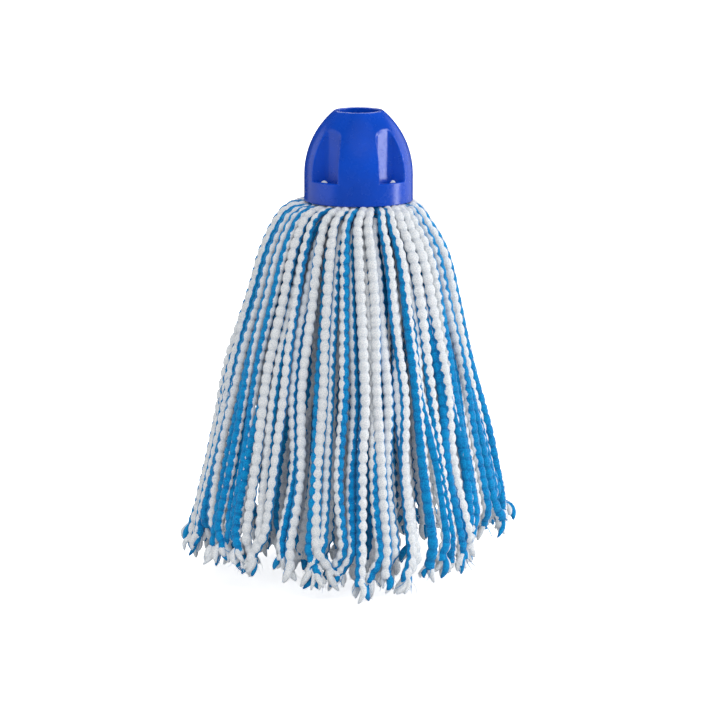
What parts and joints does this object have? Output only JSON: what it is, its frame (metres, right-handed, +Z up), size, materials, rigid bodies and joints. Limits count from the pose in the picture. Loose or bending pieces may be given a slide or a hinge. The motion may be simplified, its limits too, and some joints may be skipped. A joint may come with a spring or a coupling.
{
  "type": "string mop head",
  "caption": "Round string mop head: a domed plastic handle socket with side pockets over a flared skirt of beaded two-tone yarn strands.",
  "frame": {"origin": "centre of the handle hole's mouth, on the top of the socket", "axes": "+Z up along the handle hole, out of its mouth; -Y is the front; +X to the right when seen from the front"},
  "size_m": [0.2029, 0.2103, 0.2851],
  "materials": {
    "socket_plastic": "smooth moulded, semi-gloss",
    "plug_plastic": "moulded, satin",
    "band_plastic": "woven strap, matt",
    "yarn": "beaded microfibre yarn, white and azure blue, soft and matt"
  },
  "bodies": {
    "root": {"socket_shell": "socket_plastic", "clamp_plug": "plug_plastic", "binding_band": "band_plastic", "yarn_head": "yarn", "rim_yarn": "yarn", "under_yarn": "yarn", "inner_strands": "yarn", "core_strands": "yarn"},
    "lock_1": {"strand_01": "yarn", "strand_02": "yarn", "strand_03": "yarn", "strand_04": "yarn", "strand_05": "yarn", "middle_strands_1": "yarn"},
    "lock_2": {"strand_06": "yarn", "strand_07": "yarn", "strand_08": "yarn", "strand_09": "yarn", "strand_10": "yarn", "middle_strands_2": "yarn"},
    "lock_3": {"strand_11": "yarn", "strand_12": "yarn", "strand_13": "yarn", "strand_14": "yarn", "strand_15": "yarn", "middle_strands_3": "yarn"},
    "lock_4": {"strand_16": "yarn", "strand_17": "yarn", "strand_18": "yarn", "strand_19": "yarn", "strand_20": "yarn", "middle_strands_4": "yarn"},
    "lock_5": {"strand_21": "yarn", "strand_22": "yarn", "strand_23": "yarn", "strand_24": "yarn", "strand_25": "yarn", "middle_strands_5": "yarn"},
    "lock_6": {"strand_26": "yarn", "strand_27": "yarn", "strand_28": "yarn", "strand_29": "yarn", "strand_30": "yarn", "middle_strands_6": "yarn"},
    "lock_7": {"strand_31": "yarn", "strand_32": "yarn", "strand_33": "yarn", "strand_34": "yarn", "strand_35": "yarn", "middle_strands_7": "yarn"},
    "lock_8": {"strand_36": "yarn", "strand_37": "yarn", "strand_38": "yarn", "strand_39": "yarn", "strand_40": "yarn", "middle_strands_8": "yarn"}
  },
  "joints": [
    {"name": "lock_1_swing", "type": "hinge", "parent": "root", "child": "lock_1", "pos_m": [0.04562, 0.0189, -0.06378], "axis": [0.3827, -0.9239, 0], "range_deg": [0, 60]},
    {"name": "lock_2_swing", "type": "hinge", "parent": "root", "child": "lock_2", "pos_m": [0.0189, 0.04562, -0.06378], "axis": [0.9239, -0.3827, 0], "range_deg": [0, 60]},
    {"name": "lock_3_swing", "type": "hinge", "parent": "root", "child": "lock_3", "pos_m": [-0.0189, 0.04562, -0.06378], "axis": [0.9239, 0.3827, 0], "range_deg": [0, 60]},
    {"name": "lock_4_swing", "type": "hinge", "parent": "root", "child": "lock_4", "pos_m": [-0.04562, 0.0189, -0.06378], "axis": [0.3827, 0.9239, 0], "range_deg": [0, 60]},
    {"name": "lock_5_swing", "type": "hinge", "parent": "root", "child": "lock_5", "pos_m": [-0.04562, -0.0189, -0.06378], "axis": [-0.3827, 0.9239, 0], "range_deg": [0, 60]},
    {"name": "lock_6_swing", "type": "hinge", "parent": "root", "child": "lock_6", "pos_m": [-0.0189, -0.04562, -0.06378], "axis": [-0.9239, 0.3827, 0], "range_deg": [0, 60]},
    {"name": "lock_7_swing", "type": "hinge", "parent": "root", "child": "lock_7", "pos_m": [0.0189, -0.04562, -0.06378], "axis": [-0.9239, -0.3827, 0], "range_deg": [0, 60]},
    {"name": "lock_8_swing", "type": "hinge", "parent": "root", "child": "lock_8", "pos_m": [0.04562, -0.0189, -0.06378], "axis": [-0.3827, -0.9239, 0], "range_deg": [0, 60]}
  ]
}
